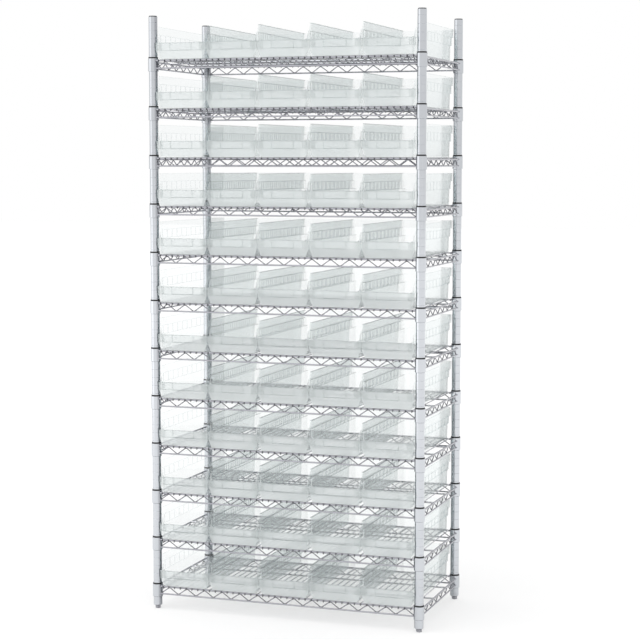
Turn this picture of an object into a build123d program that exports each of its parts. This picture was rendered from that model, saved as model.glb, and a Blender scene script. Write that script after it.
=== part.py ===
from build123d import *
import math
import os

os.makedirs("parts", exist_ok=True)

# Wire bin shelving unit. Millimetres, +Z up, front faces -Y, origin on the floor under the middle.

# Bins: clear open-front tubs that stand side by side on every shelf
bin_length = 454.0
bin_width = 168.3
bin_height = 101.6
bin_front_height = 50.8
bin_rail_height = 76.2
bin_wall = 2.2
bin_floor = 2.6
bin_draft = 0.03
bin_side_ledge = 3.7
bin_end_ledge = 1.0
bin_rear_radius = 22.0
bin_front_radius = 5.0
bin_front_lean = 4.6
bin_side_lean = 20.0
bin_mouth_setback = 3.0
bin_band_height = 24.0
bin_band_margin = 0.4
bin_gap = 0.8
bin_post_clearance = 2.4
bin_seat_clearance = 0.4
bin_head_room = 18.0
bins_per_shelf = 5
shelf_count = 12
own_node_rows = range(4, 10)

# Posts: grooved tubes with a cap above and a threaded socket and foot below
post_diameter = 25.4
post_wall = 1.3
post_reach = 133.0
groove_pitch = 25.4
groove_depth = 0.45
groove_width = 1.6
plug_clearance = 0.12
plug_depth = 22.0
cap_height = 3.0
cap_bevel = 1.0
socket_flange = 1.5
foot_height = 12.5
foot_base_height = 8.5
foot_across_flats = 16.0
foot_chamfer = 1.2
stem_diameter = 9.5
stem_clearance = 0.3
bottom_shelf_height = 76.0

# Shelves: welded wire, with heights counted down from where the bins stand
rail_wire = 6.0
deck_wire = 3.6
cross_wire = 5.0
base_wire = 4.8
zigzag_wire = 4.0
zigzag_pitch = 60.0
deck_wires_per_zigzag = 3
cross_wire_count = 2
truss_height = 24.0
truss_offset = 7.0
weld_depth = 0.3
weld_gap = 0.05
bin_seat_overlap = 3.0

# Collars and split sleeves, which wedge each shelf corner onto a post groove
collar_diameter = 33.0
collar_height = 40.0
collar_rise = 3.7
sleeve_clearance = 0.12
sleeve_top_wall = 1.5
sleeve_taper = 0.7
sleeve_short = 2.0
sleeve_split = 0.8
sleeve_facets = 24
rim_wall = 2.5
rim_height = 4.6
ridge_drop = 12.0
ridge_height = 0.3
ridge_width = 1.0

# Places worked out from the sizes above
post_radius = post_diameter / 2
bore_radius = post_radius - post_wall
bin_pitch = bin_width + bin_gap
bin_row_width = bins_per_shelf * bin_pitch - bin_gap
post_x = bin_row_width / 2 + bin_post_clearance + post_radius
bin_foot_rear = bin_length / 2 - bin_height * bin_draft - 2 * bin_end_ledge
rail_y = bin_foot_rear - bin_seat_overlap
post_y = rail_y - truss_offset
rail_x = post_x + truss_offset
corners = [(x, y) for y in (-post_y, post_y) for x in (-post_x, post_x)]
corner_names = ["front_left", "front_right", "rear_left", "rear_right"]

# Wire heights below the line where the bins stand
rail_z = -rail_wire / 2
deck_z = -rail_wire - deck_wire / 2 + weld_depth
cross_z = deck_z - (deck_wire + cross_wire) / 2 + weld_depth
side_rail_z = cross_z + (cross_wire + rail_wire) / 2 - weld_depth
base_z = rail_z - truss_height
zigzag_inset = (base_wire + zigzag_wire) / 2 - weld_depth
front_peak_z = deck_z - deck_wire / 2 + weld_depth

# Shelf heights: a whole number of grooves, the least that leaves room over the bins
shelf_depth = max(-base_z + base_wire / 2, collar_height - collar_rise)
room_needed = bin_height + bin_head_room + shelf_depth - (collar_height - collar_rise + base_z)
shelf_pitch = math.ceil(room_needed / groove_pitch) * groove_pitch
levels = [bottom_shelf_height + k * shelf_pitch for k in range(shelf_count)]
post_top = levels[-1] + post_reach
first_groove = levels[0] - ridge_drop
while first_groove - groove_pitch > foot_height + groove_width:
    first_groove = first_groove - groove_pitch


def placed(piece, places):
    with BuildPart() as group:
        with Locations(*places):
            add(piece)
    return group.part


def write(piece, name):
    piece.label = name
    export_step(piece, "parts/" + name + ".step", write_pcurves=False)


# Corner post: a tube with a small V groove all round at every step
grooves = int((post_top - groove_width - first_groove) // groove_pitch) + 1
outline = [(bore_radius, foot_height), (post_radius, foot_height)]
for k in range(grooves):
    groove_z = first_groove + k * groove_pitch
    outline.append((post_radius, groove_z - groove_width / 2))
    outline.append((post_radius - groove_depth, groove_z))
    outline.append((post_radius, groove_z + groove_width / 2))
outline.append((post_radius, post_top))
outline.append((bore_radius, post_top))
with BuildPart() as post:
    with BuildSketch(Plane.XZ):
        with BuildLine():
            Polyline(*outline, close=True)
        make_face()
    revolve(axis=Axis.Z)
for name, (x, y) in zip(corner_names, corners):
    write(placed(post.part, [(x, y, 0)]), "post_" + name)

# Post cap: a low disc with a bevelled top, on a stem that fills the top of the tube
plug_radius = bore_radius - plug_clearance
with BuildPart() as cap:
    with BuildSketch(Plane.XZ):
        with BuildLine():
            Polyline(
                (0, -plug_depth),
                (plug_radius, -plug_depth),
                (plug_radius, 0),
                (post_radius, 0),
                (post_radius, cap_height - cap_bevel),
                (post_radius - cap_bevel, cap_height),
                (0, cap_height),
                close=True,
            )
        make_face()
    revolve(axis=Axis.Z)
write(placed(cap.part, [(x, y, post_top) for x, y in corners]), "post_caps")

# Foot socket: a flanged plug in the foot of the tube, with the hole for the stem
stem_radius = stem_diameter / 2
with BuildPart() as socket:
    with Locations((0, 0, -socket_flange)):
        Cylinder(post_radius, socket_flange, align=(Align.CENTER, Align.CENTER, Align.MIN))
    Cylinder(plug_radius, plug_depth, align=(Align.CENTER, Align.CENTER, Align.MIN))
    with Locations((0, 0, plug_depth)):
        Hole(stem_radius + stem_clearance)
write(placed(socket.part, [(x, y, foot_height) for x, y in corners]), "foot_sockets")

# Levelling foot: a hex base on a stem that turns in the socket
with BuildPart() as foot:
    with BuildSketch():
        RegularPolygon(foot_across_flats / 2, 6, major_radius=False)
    extrude(amount=foot_base_height)
    chamfer(foot.faces().sort_by(Axis.Z)[0].edges(), foot_chamfer)
    with Locations((0, 0, foot_base_height)):
        stem_length = foot_height - foot_base_height + plug_depth
        Cylinder(stem_radius, stem_length, align=(Align.CENTER, Align.CENTER, Align.MIN))
for name, (x, y) in zip(corner_names, corners):
    write(placed(foot.part, [(x, y, 0)]), "levelling_foot_" + name)

# Split sleeve: a tapered ring in two halves, with a rim above the collar and a ridge in the groove.
# Its sides are flat facets
sleeve_inner = post_radius + sleeve_clearance
sleeve_top = sleeve_inner + sleeve_top_wall
sleeve_foot = sleeve_top + sleeve_taper
sleeve_low = collar_rise - collar_height + sleeve_short
rim_low = collar_rise + sleeve_clearance
rim_top = collar_rise + rim_height
rim_radius = post_radius + rim_wall
with BuildPart() as sleeve:
    for radius, height in ((sleeve_foot, sleeve_low), (sleeve_top, rim_low)):
        with BuildSketch(Plane.XY.offset(height)):
            RegularPolygon(radius, sleeve_facets)
    loft(ruled=True)
    with BuildSketch(Plane.XY.offset(rim_low)):
        RegularPolygon(rim_radius, sleeve_facets)
    extrude(amount=rim_top - rim_low)
    for radius, height in (
        (sleeve_inner, sleeve_low),
        (sleeve_inner, -ridge_width / 2 - ridge_drop),
        (sleeve_inner - sleeve_clearance - ridge_height, -ridge_drop),
        (sleeve_inner, ridge_width / 2 - ridge_drop),
        (sleeve_inner, rim_top),
    ):
        with BuildSketch(Plane.XY.offset(height)):
            RegularPolygon(radius, sleeve_facets, major_radius=False)
    loft(ruled=True, mode=Mode.SUBTRACT)
    Box(2 * collar_diameter, sleeve_split, 4 * collar_height, mode=Mode.SUBTRACT)
low_shelves = shelf_count // 2
for name, heights in (("low", levels[:low_shelves]), ("high", levels[low_shelves:])):
    sleeve_places = [(x, y, z) for z in heights for x, y in corners]
    write(placed(sleeve.part, sleeve_places), "split_sleeves_" + name)


# Zigzag truss bar in its own plane, low at both ends, clipped where the collars stand
def zigzag(plane, span, clear_span, top, bottom):
    turns = max(round(span / zigzag_pitch), 1)
    half_step = span / turns / 2
    slope = (top - bottom - zigzag_wire) / half_step
    half_thick = zigzag_wire / 2 * math.hypot(1, slope)
    above = []
    below = []
    for k in range(2 * turns + 1):
        middle = top - half_thick if k % 2 else bottom + half_thick
        above.append((k * half_step - span / 2, middle + half_thick))
        below.append((k * half_step - span / 2, middle - half_thick))
    with BuildPart() as bar:
        with BuildSketch(plane):
            with BuildLine():
                Polyline(*above, *reversed(below), close=True)
            make_face()
            with Locations((0, (top + bottom) / 2)):
                Rectangle(clear_span, 2 * (top - bottom), mode=Mode.INTERSECT)
        extrude(amount=zigzag_wire / 2, both=True)
    return bar.part


# How far from a post's middle a wire of the given width ends, beside the round collar
def wire_stop(offset, width):
    return math.sqrt((collar_diameter / 2) ** 2 - max(offset - width / 2, 0) ** 2) + weld_gap


# Wire shelf: rails, deck wires hung under them, cross wires, four trusses and four collars
front_span = 2 * post_x - post_diameter
side_span = 2 * post_y - post_diameter
front_turns = max(round(front_span / zigzag_pitch), 1)
deck_pitch = front_span / front_turns / deck_wires_per_zigzag
deck_count = front_turns * deck_wires_per_zigzag
cross_step = 2 * rail_y / (cross_wire_count + 1)
rail_stop = wire_stop(truss_offset, rail_wire)
base_stop = wire_stop(truss_offset, base_wire)
zigzag_stop = wire_stop(truss_offset - zigzag_inset, zigzag_wire)
base_low = base_z - base_wire / 2
deck_places = [((k - (deck_count - 1) / 2) * deck_pitch, 0, deck_z) for k in range(deck_count)]
cross_places = [(0, (k + 1) * cross_step - rail_y, cross_z) for k in range(cross_wire_count)]
front_zigzag = zigzag(Plane.XZ, front_span, 2 * (post_x - zigzag_stop), front_peak_z, base_low)
side_zigzag = zigzag(Plane.YZ, side_span, 2 * (post_y - zigzag_stop), side_rail_z, base_low)
with BuildPart() as mat:
    with Locations(*deck_places):
        Box(deck_wire, 2 * rail_y + rail_wire, deck_wire)
    with Locations(*cross_places):
        Box(2 * rail_x + rail_wire, cross_wire, cross_wire)
    with Locations((0, -rail_y, rail_z), (0, rail_y, rail_z)):
        Box(2 * (post_x - rail_stop), rail_wire, rail_wire)
    with Locations((-rail_x, 0, side_rail_z), (rail_x, 0, side_rail_z)):
        Box(rail_wire, 2 * (post_y - rail_stop), rail_wire)
    with Locations((0, zigzag_inset - rail_y, 0), (0, rail_y - zigzag_inset, 0)):
        add(front_zigzag)
    with Locations((zigzag_inset - rail_x, 0, 0), (rail_x - zigzag_inset, 0, 0)):
        add(side_zigzag)
    with Locations((0, -rail_y, base_z), (0, rail_y, base_z)):
        Box(2 * (post_x - base_stop), base_wire, base_wire)
    with Locations((-rail_x, 0, base_z), (rail_x, 0, base_z)):
        Box(base_wire, 2 * (post_y - base_stop), base_wire)

with BuildPart() as collar:
    with BuildSketch(Plane.XZ):
        with BuildLine():
            Polyline(
                (sleeve_top + sleeve_clearance, collar_rise),
                (collar_diameter / 2, collar_rise),
                (collar_diameter / 2, collar_rise - collar_height),
                (sleeve_foot + sleeve_clearance, collar_rise - collar_height),
                close=True,
            )
        make_face()
    revolve(axis=Axis.Z)

with BuildPart() as shelf:
    add(mat.part)
    with Locations(*[(x, y, 0) for x, y in corners]):
        add(collar.part)
for k, level in enumerate(levels):
    write(placed(shelf.part, [(0, 0, level)]), f"wire_shelf_{k + 1:02d}")


# Bin section at one height: straight sides, wide rear corners, walls drawn in below each ledge
def bin_section(height, ledges_above, wall):
    drawn_in = (bin_height - height) * bin_draft + wall
    side = bin_width / 2 - drawn_in - ledges_above * bin_side_ledge
    rear = bin_length / 2 - drawn_in - ledges_above * bin_end_ledge
    lean = bin_front_lean * max(1 - height / bin_front_height, 0)
    front = lean + wall - bin_length / 2
    with BuildSketch(Plane.XY.offset(height)) as section:
        with Locations((0, (front + rear) / 2)):
            Rectangle(2 * side, rear - front)
        fillet(section.vertices().group_by(Axis.Y)[-1], bin_rear_radius - wall)
        fillet(section.vertices().group_by(Axis.Y)[0], bin_front_radius - wall)
    return section.sketch


# Shelf bin: three tiers one above another, hollowed, with a low front panel and slanting mouth
panel_height = math.hypot(bin_front_height, bin_front_lean)
panel_plane = Plane(
    origin=(0, bin_front_lean - bin_length / 2, 0),
    x_dir=(1, 0, 0),
    z_dir=(0, -bin_front_height, -bin_front_lean),
)
foot_side = bin_width / 2 - bin_height * bin_draft - 2 * bin_side_ledge
band_side = bin_width / 2 - bin_band_margin
mouth_y = bin_mouth_setback - bin_length / 2
tier_heights = [0, bin_front_height, bin_rail_height, bin_height]
with BuildPart() as tub:
    for tier in range(3):
        ledges = 2 - tier
        low = bin_section(tier_heights[tier], ledges, 0)
        high = bin_section(tier_heights[tier + 1], ledges, 0)
        loft((low, high), ruled=True)
    with BuildSketch(panel_plane):
        with BuildLine():
            Polyline(
                (-foot_side, 0),
                (foot_side, 0),
                (band_side, panel_height - bin_band_height),
                (band_side, panel_height),
                (-band_side, panel_height),
                (-band_side, panel_height - bin_band_height),
                close=True,
            )
        make_face()
    extrude(amount=-bin_wall)
    for tier in range(3):
        ledges = 2 - tier
        step = bin_floor if tier == 0 else bin_wall
        top_step = bin_wall if tier < 2 else 0
        low = bin_section(tier_heights[tier] + step, ledges, bin_wall)
        high = bin_section(tier_heights[tier + 1] + top_step, ledges, bin_wall)
        loft((low, high), ruled=True, mode=Mode.SUBTRACT)
    with BuildSketch(Plane.YZ):
        with BuildLine():
            Polyline(
                (-bin_length, bin_front_height),
                (mouth_y, bin_front_height),
                (mouth_y + bin_side_lean, bin_height),
                (mouth_y + bin_side_lean, 2 * bin_height),
                (-bin_length, 2 * bin_height),
                close=True,
            )
        make_face()
    extrude(amount=bin_width, both=True, mode=Mode.SUBTRACT)

for k, level in enumerate(levels):
    row = k + 1
    seat = level + bin_seat_clearance
    places = [((c - (bins_per_shelf - 1) / 2) * bin_pitch, 0, seat) for c in range(bins_per_shelf)]
    if row in own_node_rows:
        for c, place in enumerate(places):
            write(placed(tub.part, [place]), f"bin_row{row:02d}_col{c + 1}")
    else:
        write(placed(tub.part, places), f"bins_row{row:02d}")

print("post centres", round(2 * post_x, 1), "x", round(2 * post_y, 1), "shelf pitch", round(shelf_pitch, 1))
print("height", round(post_top + cap_height, 1), "deck wires", deck_count, "at", round(deck_pitch, 2))
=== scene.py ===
import math

import bpy
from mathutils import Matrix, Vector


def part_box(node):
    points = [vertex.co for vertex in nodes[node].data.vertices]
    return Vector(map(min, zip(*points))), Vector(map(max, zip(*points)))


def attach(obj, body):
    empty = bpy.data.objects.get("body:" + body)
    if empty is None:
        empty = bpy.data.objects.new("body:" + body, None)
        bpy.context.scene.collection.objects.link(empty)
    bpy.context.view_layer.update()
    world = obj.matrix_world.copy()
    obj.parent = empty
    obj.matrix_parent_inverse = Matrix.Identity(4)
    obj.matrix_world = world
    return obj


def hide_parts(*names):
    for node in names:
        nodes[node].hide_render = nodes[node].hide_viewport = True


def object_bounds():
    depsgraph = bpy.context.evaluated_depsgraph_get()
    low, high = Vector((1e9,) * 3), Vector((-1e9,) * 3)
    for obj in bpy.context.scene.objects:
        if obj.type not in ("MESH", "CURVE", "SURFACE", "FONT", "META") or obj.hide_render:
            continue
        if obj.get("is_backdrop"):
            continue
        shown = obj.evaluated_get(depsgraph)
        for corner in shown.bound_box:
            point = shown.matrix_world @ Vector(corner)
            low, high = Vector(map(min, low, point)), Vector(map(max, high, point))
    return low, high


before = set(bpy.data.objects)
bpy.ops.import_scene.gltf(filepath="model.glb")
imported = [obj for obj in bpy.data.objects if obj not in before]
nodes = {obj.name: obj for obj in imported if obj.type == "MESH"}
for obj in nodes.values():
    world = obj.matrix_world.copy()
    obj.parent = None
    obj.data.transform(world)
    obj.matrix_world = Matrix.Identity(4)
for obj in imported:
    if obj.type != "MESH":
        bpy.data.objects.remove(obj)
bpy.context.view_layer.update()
print("stage: frame loaded")

mm = 0.001
scene = bpy.context.scene


def deselectAll():
    bpy.ops.object.select_all(action="DESELECT")


def pick(*objs):
    deselectAll()
    for obj in objs:
        obj.select_set(True)
    bpy.context.view_layer.objects.active = objs[0]


def settle(obj, name):
    pick(obj)
    bpy.ops.object.transform_apply(location=True, rotation=True, scale=True)
    obj.name = name
    obj.data.name = name
    return obj


def block(name, centre, size):
    deselectAll()
    bpy.ops.mesh.primitive_cube_add(size=1, location=centre)
    bpy.context.object.scale = size
    return settle(bpy.context.object, name)


def rod(name, centre, length, radius, turn, sides):
    deselectAll()
    bpy.ops.mesh.primitive_cylinder_add(
        vertices=sides, radius=radius, depth=length, location=centre, rotation=turn
    )
    return settle(bpy.context.object, name)


def useModifier(obj, kind, **settings):
    pick(obj)
    modifier = obj.modifiers.new(kind.lower(), kind)
    for key, value in settings.items():
        setattr(modifier, key, value)
    bpy.ops.object.modifier_apply(modifier=modifier.name)


def repeat(obj, count, step, **settings):
    useModifier(
        obj,
        "ARRAY",
        count=count,
        use_relative_offset=False,
        use_constant_offset=True,
        constant_offset_displace=step,
        **settings,
    )


def joined(name, objs):
    pick(*objs)
    bpy.ops.object.join()
    return settle(bpy.context.object, name)


def copied(obj, name, place):
    twin = obj.copy()
    twin.data = obj.data.copy()
    bpy.context.collection.objects.link(twin)
    twin.location = place
    return settle(twin, name)


def drop(obj):
    bpy.data.objects.remove(obj, do_unlink=True)


def smooth(obj, degrees):
    pick(obj)
    bpy.ops.object.shade_smooth_by_angle(angle=math.radians(degrees))


def cover(obj, material):
    obj.data.materials.clear()
    obj.data.materials.append(material)


def dress(obj, material):
    cover(obj, material)


# Colours are written as seen on screen
def srgb(text):
    parts = [int(text[k : k + 2], 16) / 255 for k in (1, 3, 5)]
    return [p / 12.92 if p <= 0.04045 else ((p + 0.055) / 1.055) ** 2.4 for p in parts] + [1.0]


def addNode(tree, kind, inputs, **settings):
    node = tree.nodes.new(kind)
    for key, value in settings.items():
        setattr(node, key, value)
    for key, value in inputs.items():
        if isinstance(value, bpy.types.NodeSocket):
            tree.links.new(value, node.inputs[key])
        else:
            node.inputs[key].default_value = value
    return node


def newMaterial(name):
    material = bpy.data.materials.new(name)
    material.use_nodes = True
    tree = material.node_tree
    return material, tree, tree.nodes["Principled BSDF"]


noiseDetail = 3.0


# A value that drifts between two limits over the piece, in patches of about the given size
def drifting(tree, patch, low, high):
    place = addNode(tree, "ShaderNodeTexCoord", {})
    noise = addNode(
        tree,
        "ShaderNodeTexNoise",
        {"Vector": place.outputs["Object"], "Scale": 1 / patch, "Detail": noiseDetail},
    )
    spread = addNode(
        tree, "ShaderNodeMapRange", {"Value": noise.outputs["Fac"], "To Min": low, "To Max": high}
    )
    return spread.outputs["Result"]


def tinted(tree, factor, dark, pale):
    ramp = addNode(tree, "ShaderNodeValToRGB", {"Fac": factor})
    ramp.color_ramp.elements[0].color = srgb(dark)
    ramp.color_ramp.elements[1].color = srgb(pale)
    return ramp.outputs["Color"]


# How far a point lies to either side of the middle of the unit, and its whole place
def placeOf(tree):
    place = addNode(tree, "ShaderNodeTexCoord", {})
    split = addNode(tree, "ShaderNodeSeparateXYZ", {"Vector": place.outputs["Object"]})
    across = addNode(tree, "ShaderNodeMath", {0: split.outputs["X"]}, operation="ABSOLUTE")
    return across.outputs[0], split


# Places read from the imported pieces
corners = ["front_left", "front_right", "rear_left", "rear_right"]
postBoxes = [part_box("post_" + corner) for corner in corners]
postSpots = [((low.x + high.x) / 2, (low.y + high.y) / 2) for low, high in postBoxes]
postX = max(spot[0] for spot in postSpots)
postY = max(spot[1] for spot in postSpots)
postFoot = postBoxes[0][0].z
postTop = postBoxes[0][1].z
postRadius = (postBoxes[0][1].x - postBoxes[0][0].x) / 2
shelfNames = sorted(name for name in nodes if name.startswith("wire_shelf"))
# The collars of a shelf stand this far above its level
collarRise = 3.7 * mm
levels = [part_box(name)[1].z - collarRise for name in shelfNames]


# Colour and roughness both drift between two limits
def makeFinish(name, look):
    material, tree, shader = newMaterial(name)
    colour = tinted(tree, drifting(tree, look["colourPatch"], 0, 1), look["dark"], look["pale"])
    roughness = drifting(tree, look["roughPatch"], look["smoothest"], look["roughest"])
    tree.links.new(colour, shader.inputs["Base Color"])
    tree.links.new(roughness, shader.inputs["Roughness"])
    shader.inputs["Metallic"].default_value = look["metallic"]
    return material, tree, shader, colour


plateLook = {"colourPatch": 111 * mm, "roughPatch": 71.4 * mm, "metallic": 1.0}
chromeLook = {
    **plateLook,
    "dark": "#c2c5ca",
    "pale": "#d0d3d7",
    "smoothest": 0.10,
    "roughest": 0.20,
    "shade": "#a8aaaf",
    "shadeStart": 0.55,
    "shadeFull": 0.96,
}
# Bright plated steel: a soft mirror with a cool cast, with painted shade on the side turned to the shelves
chrome, tree, shader, plate = makeFinish("bright chrome plate", chromeLook)
across = placeOf(tree)[0]
# Painted shade: each post and collar is blended towards the shade colour on its side turned to the shelves
inward = addNode(
    tree,
    "ShaderNodeMapRange",
    {
        "Value": across,
        "From Min": postX - chromeLook["shadeStart"] * postRadius,
        "From Max": postX - chromeLook["shadeFull"] * postRadius,
    },
    interpolation_type="SMOOTHSTEP",
)
# Sockets 6 and 7 of this node take its two colours, and output 2 gives the mixed one
mixed = addNode(
    tree,
    "ShaderNodeMix",
    {"Factor": inward.outputs["Result"], 6: plate, 7: srgb(chromeLook["shade"])},
    data_type="RGBA",
)
tree.links.new(mixed.outputs[2], shader.inputs["Base Color"])

zincLook = {
    "dark": "#8f9096",
    "pale": "#b4b5ba",
    "smoothest": 0.28,
    "roughest": 0.42,
    "colourPatch": 6.25 * mm,
    "roughPatch": 11.11 * mm,
    "metallic": 1.0,
}
# Zinc plated steel: a duller grey metal with a faint spangle
zinc = makeFinish("zinc plated steel", zincLook)[0]

mouldedLook = {"colourPatch": 8.333 * mm, "roughPatch": 5 * mm, "metallic": 0.0}
sleeveLook = {**mouldedLook, "dark": "#101012", "pale": "#1c1c1f", "smoothest": 0.42, "roughest": 0.6}
# Moulded black nylon: matt, nearly even black
blackNylon = makeFinish("matt black nylon", sleeveLook)[0]

capLook = {**mouldedLook, "dark": "#18181a", "pale": "#242427", "smoothest": 0.4, "roughest": 0.55}
# Moulded dark grey plastic: matt, a little lighter than the sleeves
capPlastic = makeFinish("matt dark grey plastic", capLook)[0]

shadedEndLook = {**plateLook, "dark": "#48484c", "pale": "#5c5c60", "smoothest": 0.14, "roughest": 0.26}
# Plated wire ends: turned down over the rail, painted the darkest of the wires as painted shade
shadedEndChrome = makeFinish("chrome plated wire ends", shadedEndLook)[0]

shadedUnderLook = {**plateLook, "dark": "#707075", "pale": "#88888d", "smoothest": 0.14, "roughest": 0.26}
# Plated deck and cross wires from below, in painted shade: greyer than their bright upper side
shadedUnderChrome = makeFinish("chrome plated wire underside", shadedUnderLook)[0]

shadedTrussLook = {**plateLook, "dark": "#7c7c82", "pale": "#94949a", "smoothest": 0.12, "roughest": 0.24}
# Plated truss wire: duller than the posts, and painted darker and greyer as painted shade
shadedTrussChrome = makeFinish("chrome plated truss wire", shadedTrussLook)[0]

shadedRailLook = {**plateLook, "dark": "#9c9ca2", "pale": "#b0b0b6", "smoothest": 0.10, "roughest": 0.20}
# Plated rails and base wires, in painted shade: between the truss and the deck in brightness
shadedRailChrome = makeFinish("chrome plated rail and base wire", shadedRailLook)[0]

litDeckLook = {**plateLook, "dark": "#d2d2d6", "pale": "#e2e2e6", "smoothest": 0.10, "roughest": 0.20}
# Plated deck and cross wires from above, in painted light: the brightest of the wires
litDeckChrome = makeFinish("chrome plated deck wire", litDeckLook)[0]

clearLook = {
    "tint": "#fdfefe",
    "hazeDark": "#d2d6d6",
    "hazePale": "#dee2e2",
    "hazePatch": 50 * mm,
    "hazeRoughness": 0.5,
    "haze": 0.015,
    "sideHaze": 0.19,
    "sidePower": 2.0,
    "outerWall": 408 * mm,
    "outerFade": 4 * mm,
    "outerHaze": 0.0,
    "outerThin": 0.012,
    "outerShine": 0.12,
    "frontHaze": 0.35,
    "frontStart": -213.5 * mm,
    "frontFull": -216.5 * mm,
    "cornerShadeBand": 0.20,
    "cornerSide": 378 * mm,
    "cornerRear": 186 * mm,
    "cornerFade": 6 * mm,
    "facingBlend": 0.5,
    "shine": 0.035,
    "edgeShine": 0.5,
    "edgePower": 6.0,
    "glossPatch": 25 * mm,
    "glossSmoothest": 0.06,
    "glossRoughest": 0.12,
}
shadedWorkLook = {
    **clearLook,
    "hazeDark": "#969e9c",
    "hazePale": "#a9b0ae",
    "haze": 0.13,
    "frontHaze": 0.16,
    "cornerShadeBand": 0.0,
    "outerThin": 0.05,
}


# See-through, with a matt haze and a gloss mixed over it by place and by angle of view
def makeClear(name, look):
    material, tree, shader = newMaterial(name)
    hazeColour = tinted(tree, drifting(tree, look["hazePatch"], 0, 1), look["hazeDark"], look["hazePale"])
    tree.links.new(hazeColour, shader.inputs["Base Color"])
    shader.inputs["Roughness"].default_value = look["hazeRoughness"]
    shader.inputs["Specular IOR Level"].default_value = 0.0
    across, split = placeOf(tree)

    def ramped(value, start, full, low, high):
        spread = addNode(
            tree,
            "ShaderNodeMapRange",
            {"Value": value, "From Min": start, "From Max": full, "To Min": low, "To Max": high},
        )
        return spread.outputs["Result"]

    def worked(operation, *values):
        return addNode(tree, "ShaderNodeMath", dict(enumerate(values)), operation=operation).outputs[0]

    def blended(share, first, second):
        return addNode(tree, "ShaderNodeMixShader", {0: share, 1: first.outputs[0], 2: second.outputs[0]})

    # One value on the walls between bins, another on the outermost walls of a row, where less haze and less
    # gloss are painted light that makes those walls look clearer
    def byWall(inner, outer):
        return ramped(across, look["outerWall"], look["outerWall"] + look["outerFade"], inner, outer)

    thin = byWall(look["haze"], look["outerThin"])
    front = ramped(split.outputs["Y"], look["frontStart"], look["frontFull"], thin, look["frontHaze"])
    # Painted shade: a grey band of haze on the rounded rear corners at both ends of a row
    aside = ramped(across, look["cornerSide"], look["cornerSide"] + look["cornerFade"], 0, 1)
    behind = ramped(split.outputs["Y"], look["cornerRear"], look["cornerRear"] + look["cornerFade"], 0, 1)
    corner = worked("MINIMUM", aside, behind)
    patch = worked("MULTIPLY_ADD", corner, look["cornerShadeBand"], front)
    facing = addNode(tree, "ShaderNodeLayerWeight", {"Blend": look["facingBlend"]}).outputs["Facing"]
    longWay = worked("POWER", facing, look["sidePower"])
    cloud = worked("MULTIPLY_ADD", longWay, byWall(look["sideHaze"], look["outerHaze"]), patch)
    through = addNode(tree, "ShaderNodeBsdfTransparent", {"Color": srgb(look["tint"])})
    hazy = blended(cloud, through, shader)
    slant = worked("POWER", facing, look["edgePower"])
    shine = worked("MULTIPLY_ADD", slant, byWall(look["edgeShine"], look["outerShine"]), look["shine"])
    glossRoughness = drifting(tree, look["glossPatch"], look["glossSmoothest"], look["glossRoughest"])
    gloss = addNode(tree, "ShaderNodeBsdfAnisotropic", {"Roughness": glossRoughness})
    both = blended(shine, hazy, gloss)
    tree.links.new(both.outputs[0], tree.nodes["Material Output"].inputs["Surface"])
    return material


# Clear moulded plastic: see-through, mirrors the room on slanting views, with a light haze on its front
clearPlastic = makeClear("clear moulded plastic", clearLook)
# The same plastic in thin ribs and bars, painted greyer as painted shade, so that they show as fine lines
shadedRibPlastic = makeClear("clear plastic ribs", shadedWorkLook)
print("stage: materials")

postPlan = {
    "sides": 48,
    "wall": 1.3 * mm,
    "groovePitch": 25.4 * mm,
    "grooveWidth": 1.6 * mm,
    "grooveDepth": 0.45 * mm,
    "grooveBelowShelf": 12 * mm,
    "mergeWithin": 0.01 * mm,
    "endWithin": 0.1 * mm,
    "softAngle": 25,
}


# One groove's length of tube, repeated up the post, with both ends drawn out to the real ends
def makePost():
    plan = postPlan
    firstGroove = levels[0] - plan["grooveBelowShelf"]
    while firstGroove - plan["groovePitch"] > postFoot + plan["grooveWidth"]:
        firstGroove = firstGroove - plan["groovePitch"]
    count = int((postTop - plan["grooveWidth"] - firstGroove) // plan["groovePitch"]) + 1
    start = firstGroove - plan["groovePitch"] / 2
    end = start + count * plan["groovePitch"]
    plain = (plan["groovePitch"] - plan["grooveWidth"]) / 2
    half = plan["grooveWidth"] / 2
    narrow = 1 - plan["grooveDepth"] / postRadius
    deselectAll()
    bpy.ops.mesh.primitive_circle_add(vertices=plan["sides"], radius=postRadius, location=(0, 0, start))
    post = settle(bpy.context.object, "post")
    bpy.ops.object.mode_set(mode="EDIT")
    bpy.ops.mesh.select_all(action="SELECT")
    for rise, scale in ((plain, 1), (half, narrow), (half, 1 / narrow), (plain, 1)):
        bpy.ops.mesh.extrude_region_move(TRANSFORM_OT_translate={"value": (0, 0, rise)})
        bpy.ops.transform.resize(value=(scale, scale, 1), center_override=(0, 0, 0))
    bpy.ops.object.mode_set(mode="OBJECT")
    repeat(
        post,
        count,
        (0, 0, plan["groovePitch"]),
        use_merge_vertices=True,
        merge_threshold=plan["mergeWithin"],
    )
    for height, move in ((start, postFoot - start), (end, postTop - end)):
        bpy.ops.object.mode_set(mode="EDIT")
        bpy.ops.mesh.select_all(action="DESELECT")
        bpy.ops.object.mode_set(mode="OBJECT")
        for vertex in post.data.vertices:
            vertex.select = abs(vertex.co.z - height) < plan["endWithin"]
        bpy.ops.object.mode_set(mode="EDIT")
        bpy.ops.transform.translate(value=(0, 0, move))
        bpy.ops.object.mode_set(mode="OBJECT")
    useModifier(post, "SOLIDIFY", thickness=plan["wall"], offset=-1)
    return post


master = makePost()
for corner, spot in zip(corners, postSpots):
    post = copied(master, "grooved_post_" + corner, (spot[0], spot[1], 0))
    smooth(post, postPlan["softAngle"])
    dress(post, chrome)
    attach(post, "stand")
    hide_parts("post_" + corner)
drop(master)
print("stage: posts")

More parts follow.
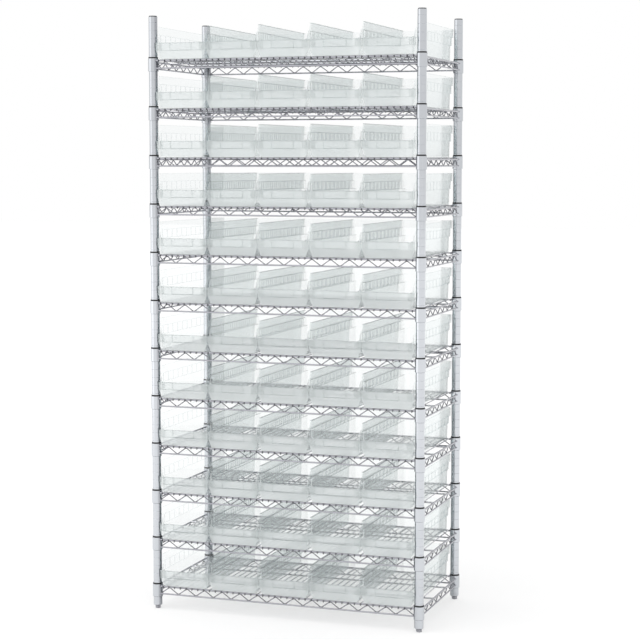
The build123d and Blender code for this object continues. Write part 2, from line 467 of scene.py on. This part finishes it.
capPlan = {"sides": 48, "height": 3 * mm, "bevel": 0.9 * mm, "bevelSteps": 3, "softAngle": 40}
caps = []
for spot in postSpots:
    middle = (spot[0], spot[1], postTop + capPlan["height"] / 2)
    cap = rod("cap", middle, capPlan["height"], postRadius, (0, 0, 0), capPlan["sides"])
    useModifier(cap, "BEVEL", width=capPlan["bevel"], segments=capPlan["bevelSteps"], limit_method="ANGLE")
    caps.append(cap)
caps = joined("moulded_post_caps", caps)
smooth(caps, capPlan["softAngle"])
dress(caps, capPlastic)
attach(caps, "stand")
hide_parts("post_caps")
print("stage: caps")

sleevePlan = {
    "sides": 64,
    "inner": 12.82 * mm,
    "top": 14.32 * mm,
    "foot": 15.02 * mm,
    "rim": 15.2 * mm,
    "rimBevel": 0.7 * mm,
    "low": -34.3 * mm,
    "rimLow": 3.82 * mm,
    "rimHigh": 8.3 * mm,
    "softAngle": 35,
}


# Tapered ring below, wider rim above; both halves of a sleeve are one ring here
def makeSleeve():
    plan = sleevePlan
    deselectAll()
    bpy.ops.mesh.primitive_circle_add(
        vertices=plan["sides"], radius=plan["inner"], location=(0, 0, plan["low"])
    )
    ring = settle(bpy.context.object, "ring")
    bpy.ops.object.mode_set(mode="EDIT")
    bpy.ops.mesh.select_all(action="SELECT")
    outline = [
        (plan["foot"], plan["low"]),
        (plan["top"], plan["rimLow"]),
        (plan["rim"], plan["rimLow"]),
        (plan["rim"], plan["rimHigh"] - plan["rimBevel"]),
        (plan["rim"] - plan["rimBevel"], plan["rimHigh"]),
        (plan["inner"], plan["rimHigh"]),
    ]
    radius, height = plan["inner"], plan["low"]
    for nextRadius, nextHeight in outline:
        bpy.ops.mesh.extrude_region_move(TRANSFORM_OT_translate={"value": (0, 0, nextHeight - height)})
        bpy.ops.transform.resize(
            value=(nextRadius / radius, nextRadius / radius, 1), center_override=(0, 0, 0)
        )
        radius, height = nextRadius, nextHeight
    bpy.ops.mesh.select_all(action="SELECT")
    bpy.ops.mesh.normals_make_consistent(inside=False)
    bpy.ops.object.mode_set(mode="OBJECT")
    return ring


ring = makeSleeve()
for name in sorted(name for name in nodes if name.startswith("split_sleeves")):
    low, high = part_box(name)
    sleeves = []
    for level in levels:
        if low.z < level < high.z:
            for spot in postSpots:
                sleeves.append(copied(ring, "sleeve", (spot[0], spot[1], level)))
    sleeves = joined("moulded_" + name, sleeves)
    smooth(sleeves, sleevePlan["softAngle"])
    dress(sleeves, blackNylon)
    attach(sleeves, "stand")
    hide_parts(name)
drop(ring)
print("stage: sleeves")

# Drops are measured down from the level of the shelf
wirePlan = {
    "sides": 12,
    "railSides": 16,
    "railRadius": 3.0 * mm,
    "deckRadius": 1.8 * mm,
    "crossRadius": 2.5 * mm,
    "baseRadius": 2.4 * mm,
    "zigzagRadius": 1.6 * mm,
    "zigzagRounding": 2,
    "bend": 4.5 * mm,
    "bendSteps": 4,
    "endSides": 8,
    "endRadius": 1.8 * mm,
    "endProud": 4.0 * mm,
    "endTop": 0.2 * mm,
    "endHeight": 7.6 * mm,
    "endBevel": 0.6 * mm,
    "endBevelAngle": 60,
    "turnsFront": 14,
    "turnsSide": 7,
    "deckCount": 42,
    "crossCount": 2,
    "offset": 7.0 * mm,
    "railDrop": 3.0 * mm,
    "sideRailDrop": 6.3 * mm,
    "deckDrop": 1.5 * mm,
    "crossDrop": 5.5 * mm,
    "baseDrop": 27.0 * mm,
    "lowDrop": 27.0 * mm,
    "frontTopDrop": 5.7 * mm,
    "sideTopDrop": 8.1 * mm,
    "zigzagInset": 4.1 * mm,
    "collarSides": 48,
    "collarRadius": 16.5 * mm,
    "collarWall": 1.4 * mm,
    "collarHeight": 40 * mm,
    "railIntoCollar": 3 * mm,
    "underSlope": -0.25,
    "softAngle": 40,
}


# A chain of edges from low to high to low, its bends rounded, given a round section
def makeZigzag(name, span, turns, low, high, alongY, place):
    deselectAll()
    bpy.ops.mesh.primitive_plane_add(size=1 * mm)
    chain = bpy.context.object
    bpy.ops.object.mode_set(mode="EDIT")
    bpy.ops.mesh.select_all(action="SELECT")
    # The plane shrinks to the one point that the chain starts from
    bpy.ops.mesh.merge(type="CENTER")
    step = span / turns / 2
    for k in range(2 * turns):
        rise = (high - low) if k % 2 == 0 else (low - high)
        along = (0, step, rise) if alongY else (step, 0, rise)
        bpy.ops.mesh.extrude_region_move(TRANSFORM_OT_translate={"value": along})
    bpy.ops.mesh.select_all(action="SELECT")
    bpy.ops.mesh.bevel(offset=wirePlan["bend"], segments=wirePlan["bendSteps"], affect="VERTICES")
    bpy.ops.object.mode_set(mode="OBJECT")
    start = (0, -span / 2, low) if alongY else (-span / 2, 0, low)
    chain.location = [start[k] + place[k] for k in range(3)]
    bpy.ops.object.convert(target="CURVE")
    chain = bpy.context.object
    chain.data.bevel_depth = wirePlan["zigzagRadius"]
    chain.data.bevel_resolution = wirePlan["zigzagRounding"]
    chain.data.use_fill_caps = True
    bpy.ops.object.convert(target="MESH")
    return settle(bpy.context.object, name)


def makeShelf():
    plan = wirePlan
    railX = postX + plan["offset"]
    railY = postY + plan["offset"]
    alongX = (0, math.radians(90), 0)
    alongY = (math.radians(90), 0, 0)
    spanX = 2 * (postX - postRadius)
    spanY = 2 * (postY - postRadius)
    pitch = spanX / plan["deckCount"]
    firstX = -pitch * (plan["deckCount"] - 1) / 2
    made = []
    deck = rod(
        "deck",
        (firstX, 0, -plan["deckDrop"]),
        2 * (railY + plan["railRadius"]),
        plan["deckRadius"],
        alongY,
        plan["sides"],
    )
    repeat(deck, plan["deckCount"], (pitch, 0, 0))
    made.append(deck)
    wireEnd = rod(
        "end",
        (firstX, -railY - plan["endProud"], -plan["endTop"] - plan["endHeight"] / 2),
        plan["endHeight"],
        plan["endRadius"],
        (0, 0, 0),
        plan["endSides"],
    )
    useModifier(
        wireEnd,
        "BEVEL",
        width=plan["endBevel"],
        segments=1,
        limit_method="ANGLE",
        angle_limit=math.radians(plan["endBevelAngle"]),
    )
    repeat(wireEnd, plan["deckCount"], (pitch, 0, 0))
    repeat(wireEnd, 2, (0, 2 * (railY + plan["endProud"]), 0))
    made.append(wireEnd)
    crossPitch = 2 * railY / (plan["crossCount"] + 1)
    cross = rod(
        "cross",
        (0, -crossPitch * (plan["crossCount"] - 1) / 2, -plan["crossDrop"]),
        2 * (railX + plan["railRadius"]),
        plan["crossRadius"],
        alongX,
        plan["sides"],
    )
    repeat(cross, plan["crossCount"], (0, crossPitch, 0))
    made.append(cross)
    inward = plan["collarRadius"] - plan["railIntoCollar"]
    for name, depth, radius in (
        ("rail", plan["railDrop"], plan["railRadius"]),
        ("base", plan["baseDrop"], plan["baseRadius"]),
    ):
        bar = rod(name, (0, -railY, -depth), 2 * (postX - inward), radius, alongX, plan["railSides"])
        repeat(bar, 2, (0, 2 * railY, 0))
        made.append(bar)
    for name, depth, radius in (
        ("rail", plan["sideRailDrop"], plan["railRadius"]),
        ("base", plan["baseDrop"], plan["baseRadius"]),
    ):
        bar = rod(name, (-railX, 0, -depth), 2 * (postY - inward), radius, alongY, plan["railSides"])
        repeat(bar, 2, (2 * railX, 0, 0))
        made.append(bar)
    low = -plan["lowDrop"]
    high = -plan["frontTopDrop"]
    reach = railY - plan["zigzagInset"]
    for y in (-reach, reach):
        made.append(makeZigzag("zigzag", spanX, plan["turnsFront"], low, high, False, (0, y, 0)))
    high = -plan["sideTopDrop"]
    reach = railX - plan["zigzagInset"]
    for x in (-reach, reach):
        made.append(makeZigzag("zigzag", spanY, plan["turnsSide"], low, high, True, (x, 0, 0)))
    for spot in postSpots:
        deselectAll()
        bpy.ops.mesh.primitive_cylinder_add(
            vertices=plan["collarSides"],
            radius=plan["collarRadius"],
            depth=plan["collarHeight"],
            end_fill_type="NOTHING",
            location=(spot[0], spot[1], collarRise - plan["collarHeight"] / 2),
        )
        collar = settle(bpy.context.object, "collar")
        useModifier(collar, "SOLIDIFY", thickness=plan["collarWall"], offset=-1)
        made.append(collar)
    plating = {
        "deck": litDeckChrome,
        "end": shadedEndChrome,
        "cross": litDeckChrome,
        "rail": shadedRailChrome,
        "base": shadedRailChrome,
        "zigzag": shadedTrussChrome,
        "collar": chrome,
    }
    for piece in made:
        piece.data.materials.append(plating[piece.name.split(".")[0]])
    # Painted shade: faces of the deck and cross wires that look downward take the darker underside plating
    for piece in (deck, cross):
        piece.data.materials.append(shadedUnderChrome)
        for face in piece.data.polygons:
            face.material_index = 1 if face.normal.z < plan["underSlope"] else 0
    return joined("shelf", made)


master = makeShelf()
print("stage: shelf master", len(master.data.polygons))
for name, level in zip(shelfNames, levels):
    shelf = copied(master, "welded_" + name, (0, 0, level))
    smooth(shelf, wirePlan["softAngle"])
    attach(shelf, "stand")
    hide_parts(name)
drop(master)
print("stage: shelves")

binPlan = {
    "columns": 5,
    "pitch": 169.1 * mm,
    "seat": 0.4 * mm,
    "front": -227 * mm,
    "frontHeight": 50.8 * mm,
    "railHeight": 76.2 * mm,
    "lean": 4.6 * mm,
    "bandHeight": 24 * mm,
    "bandHalf": 83.6 * mm,
    "bandLine": 1.12 * mm,
    "lipDrop": 0.9 * mm,
    "labelHalf": 36 * mm,
    "labelBar": 1.6 * mm,
    "barProud": 1.1 * mm,
    "barDrop": 0.5 * mm,
    "barMargin": 2 * mm,
    "endRibs": 4,
    "endRibPitch": 5.5 * mm,
    "endRibInset": 2 * mm,
    "sideHalf": 79.4 * mm,
    "sideRibs": 11,
    "sideRibPitch": 38 * mm,
    "sideRibFirst": -196 * mm,
    "ribWidth": 1.7 * mm,
    "ribProud": 2.2 * mm,
    "ribMargin": 1 * mm,
    "ledgeLine": 1.2 * mm,
    "ledgeWidth": 1.6 * mm,
    "ledgeSpan": 418 * mm,
    "ledgeMiddle": 2 * mm,
    "lowLedgeHalf": 75.8 * mm,
    "highLedgeHalf": 82.8 * mm,
    "topLedgeHalf": 82.7 * mm,
    "topHeight": 101.0 * mm,
    "softAngle": 30,
}


# Raised work on a bin: label holder and end ribs on the front band, divider ribs and ledges on both sides
def makeBinWork():
    plan = binPlan
    lean = math.atan(plan["lean"] / plan["frontHeight"])
    made = []

    # A bar on the leaning front, its middle a given way down from the top edge
    def onFront(x, down, width, height):
        y = plan["front"] + down * math.sin(lean)
        z = plan["frontHeight"] - down * math.cos(lean)
        bar = block("bar", (0, 0, 0), (width, 2 * plan["barProud"], height))
        bar.rotation_euler = (lean, 0, 0)
        bar.location = (x, y, z)
        made.append(settle(bar, "bar"))

    band = plan["bandHeight"]
    barHeight = band - plan["barMargin"]
    barMiddle = band / 2 + plan["barDrop"]
    for side in (-1, 1):
        onFront(side * plan["labelHalf"], barMiddle, plan["labelBar"], barHeight)
        for k in range(plan["endRibs"]):
            x = plan["bandHalf"] - plan["endRibInset"] - k * plan["endRibPitch"]
            onFront(side * x, barMiddle, plan["ribWidth"], barHeight)
    onFront(0, band, 2 * plan["labelHalf"], plan["labelBar"])
    onFront(0, band, 2 * plan["bandHalf"], plan["bandLine"])
    onFront(0, plan["lipDrop"], 2 * plan["bandHalf"], plan["labelBar"])
    ribHeight = plan["railHeight"] - plan["frontHeight"] - plan["ribMargin"]
    ribMiddle = plan["frontHeight"] + ribHeight / 2
    for side in (-1, 1):
        rib = block(
            "rib",
            (side * (plan["sideHalf"] + plan["ribProud"] / 2), plan["sideRibFirst"], ribMiddle),
            (plan["ribProud"], plan["ribWidth"], ribHeight),
        )
        repeat(rib, plan["sideRibs"], (0, plan["sideRibPitch"], 0))
        made.append(rib)
    ledgeSize = (plan["ledgeWidth"], plan["ledgeSpan"], plan["ledgeLine"])
    for side in (-1, 1):
        for half, height in (
            (plan["lowLedgeHalf"], plan["frontHeight"]),
            (plan["highLedgeHalf"], plan["railHeight"]),
            (plan["topLedgeHalf"], plan["topHeight"]),
        ):
            made.append(block("ledge", (side * half, plan["ledgeMiddle"], height), ledgeSize))
    return joined("bin_work", made)


master = makeBinWork()
middleColumn = (binPlan["columns"] + 1) / 2
for name in sorted(name for name in nodes if name.startswith("bin")):
    row = int(name[name.index("row") + 3 : name.index("row") + 5])
    columns = [int(name[-1])] if "col" in name else range(1, binPlan["columns"] + 1)
    seat = levels[row - 1] + binPlan["seat"]
    works = []
    for column in columns:
        works.append(copied(master, "work", ((column - middleColumn) * binPlan["pitch"], 0, seat)))
    work = joined("raised_work_" + name, works)
    dress(work, shadedRibPlastic)
    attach(work, name)
    smooth(nodes[name], binPlan["softAngle"])
    cover(nodes[name], clearPlastic)
drop(master)
print("stage: bins")

footPlan = {"socketSoftAngle": 35, "footSoftAngle": 25}
cover(nodes["foot_sockets"], zinc)
smooth(nodes["foot_sockets"], footPlan["socketSoftAngle"])
for corner in corners:
    foot = nodes["levelling_foot_" + corner]
    cover(foot, zinc)
    smooth(foot, footPlan["footSoftAngle"])
print("stage: feet")

studio = {
    "floorDark": "#f5f5f5",
    "floorPale": "#f7f7f7",
    "floorPatch": 667 * mm,
    "floorRoughness": 0.9,
    "floorSize": 60.0,
    "floorWhite": 0.62,
    "seen": 1.0,
    "light": 1.08,
    "mirrored": 0.95,
    "sun": 0.8,
    "sunAngle": 60.0,
    "sunPlace": (-3, -4, 6),
    "sunTilt": 35,
    "sunTurn": -35,
    "leftGlow": 0.5,
    "leftPlace": (-3.9, -2.7, 1.5),
    "leftTarget": (0, 0, 1.0),
    "leftSize": (4.0, 4.0),
}
white = (1, 1, 1, 1)
deselectAll()
bpy.ops.mesh.primitive_plane_add(size=studio["floorSize"], location=(0, 0, 0))
floor = settle(bpy.context.object, "studio_floor")
# Pale painted floor: even white with a soft contact shadow
floorPaint, tree, shader = newMaterial("pale floor paint")
floorColour = tinted(
    tree, drifting(tree, studio["floorPatch"], 0, 1), studio["floorDark"], studio["floorPale"]
)
tree.links.new(floorColour, shader.inputs["Base Color"])
shader.inputs["Roughness"].default_value = studio["floorRoughness"]
shader.inputs["Specular IOR Level"].default_value = 0.0
path = addNode(tree, "ShaderNodeLightPath", {})
bright = addNode(tree, "ShaderNodeEmission", {"Color": white, "Strength": studio["seen"]})
share = addNode(
    tree,
    "ShaderNodeMath",
    {0: path.outputs["Is Camera Ray"], 1: studio["floorWhite"]},
    operation="MULTIPLY",
)
paint = addNode(
    tree, "ShaderNodeMixShader", {0: share.outputs[0], 1: shader.outputs[0], 2: bright.outputs[0]}
)
tree.links.new(paint.outputs[0], tree.nodes["Material Output"].inputs["Surface"])
floor.data.materials.append(floorPaint)
floor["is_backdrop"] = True

# White to the eye, a little dimmer in mirrors
world = bpy.data.worlds.new("studio")
scene.world = world
world.use_nodes = True
tree = world.node_tree
path = addNode(tree, "ShaderNodeLightPath", {})
lit = addNode(
    tree,
    "ShaderNodeMapRange",
    {"Value": path.outputs["Is Camera Ray"], "To Min": studio["light"], "To Max": studio["seen"]},
)
strength = addNode(
    tree,
    "ShaderNodeMapRange",
    {"Value": path.outputs["Is Glossy Ray"], "To Min": lit.outputs["Result"], "To Max": studio["mirrored"]},
)
back = tree.nodes["Background"]
back.inputs["Color"].default_value = white
tree.links.new(strength.outputs["Result"], back.inputs["Strength"])

deselectAll()
bpy.ops.object.light_add(type="SUN", location=studio["sunPlace"])
sun = bpy.context.object
sun.name = "overhead_light"
sun.data.energy = studio["sun"]
sun.data.angle = math.radians(studio["sunAngle"])
sun.rotation_euler = (math.radians(studio["sunTilt"]), 0, math.radians(studio["sunTurn"]))
sun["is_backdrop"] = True


# A rectangle of light aimed at a point, not itself in the picture
def glow(name, place, target, size, radiance):
    deselectAll()
    bpy.ops.object.light_add(type="AREA", location=place)
    light = bpy.context.object
    light.name = name
    light.data.shape = "RECTANGLE"
    light.data.size = size[0]
    light.data.size_y = size[1]
    light.data.energy = radiance * math.pi * size[0] * size[1]
    aim = [target[k] - place[k] for k in range(3)]
    tilt = math.atan2(math.hypot(aim[0], aim[1]), -aim[2])
    light.rotation_euler = (tilt, 0, math.atan2(-aim[0], aim[1]))
    light.visible_camera = False
    light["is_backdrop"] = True


glow("left_softbox", studio["leftPlace"], studio["leftTarget"], studio["leftSize"], studio["leftGlow"])
print("stage: studio")

cameraPlan = {
    "place": (1.855, -5.193, 1.441),
    "tilt": 84.68,
    "turn": 19.24,
    "lens": 96.94,
    "sensor": 36,
    "clearLayers": 48,
}
bpy.ops.object.camera_add(location=cameraPlan["place"])
camera = bpy.context.object
camera.rotation_euler = (math.radians(cameraPlan["tilt"]), 0, math.radians(cameraPlan["turn"]))
camera.data.sensor_width = cameraPlan["sensor"]
camera.data.lens = cameraPlan["lens"]
scene.camera = camera
scene.view_settings.view_transform = "Standard"
# Clear walls that one line of sight may pass
scene.cycles.transparent_max_bounces = cameraPlan["clearLayers"]

low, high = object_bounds()
print("stage: camera", [round(v, 4) for v in (*low, *high)])
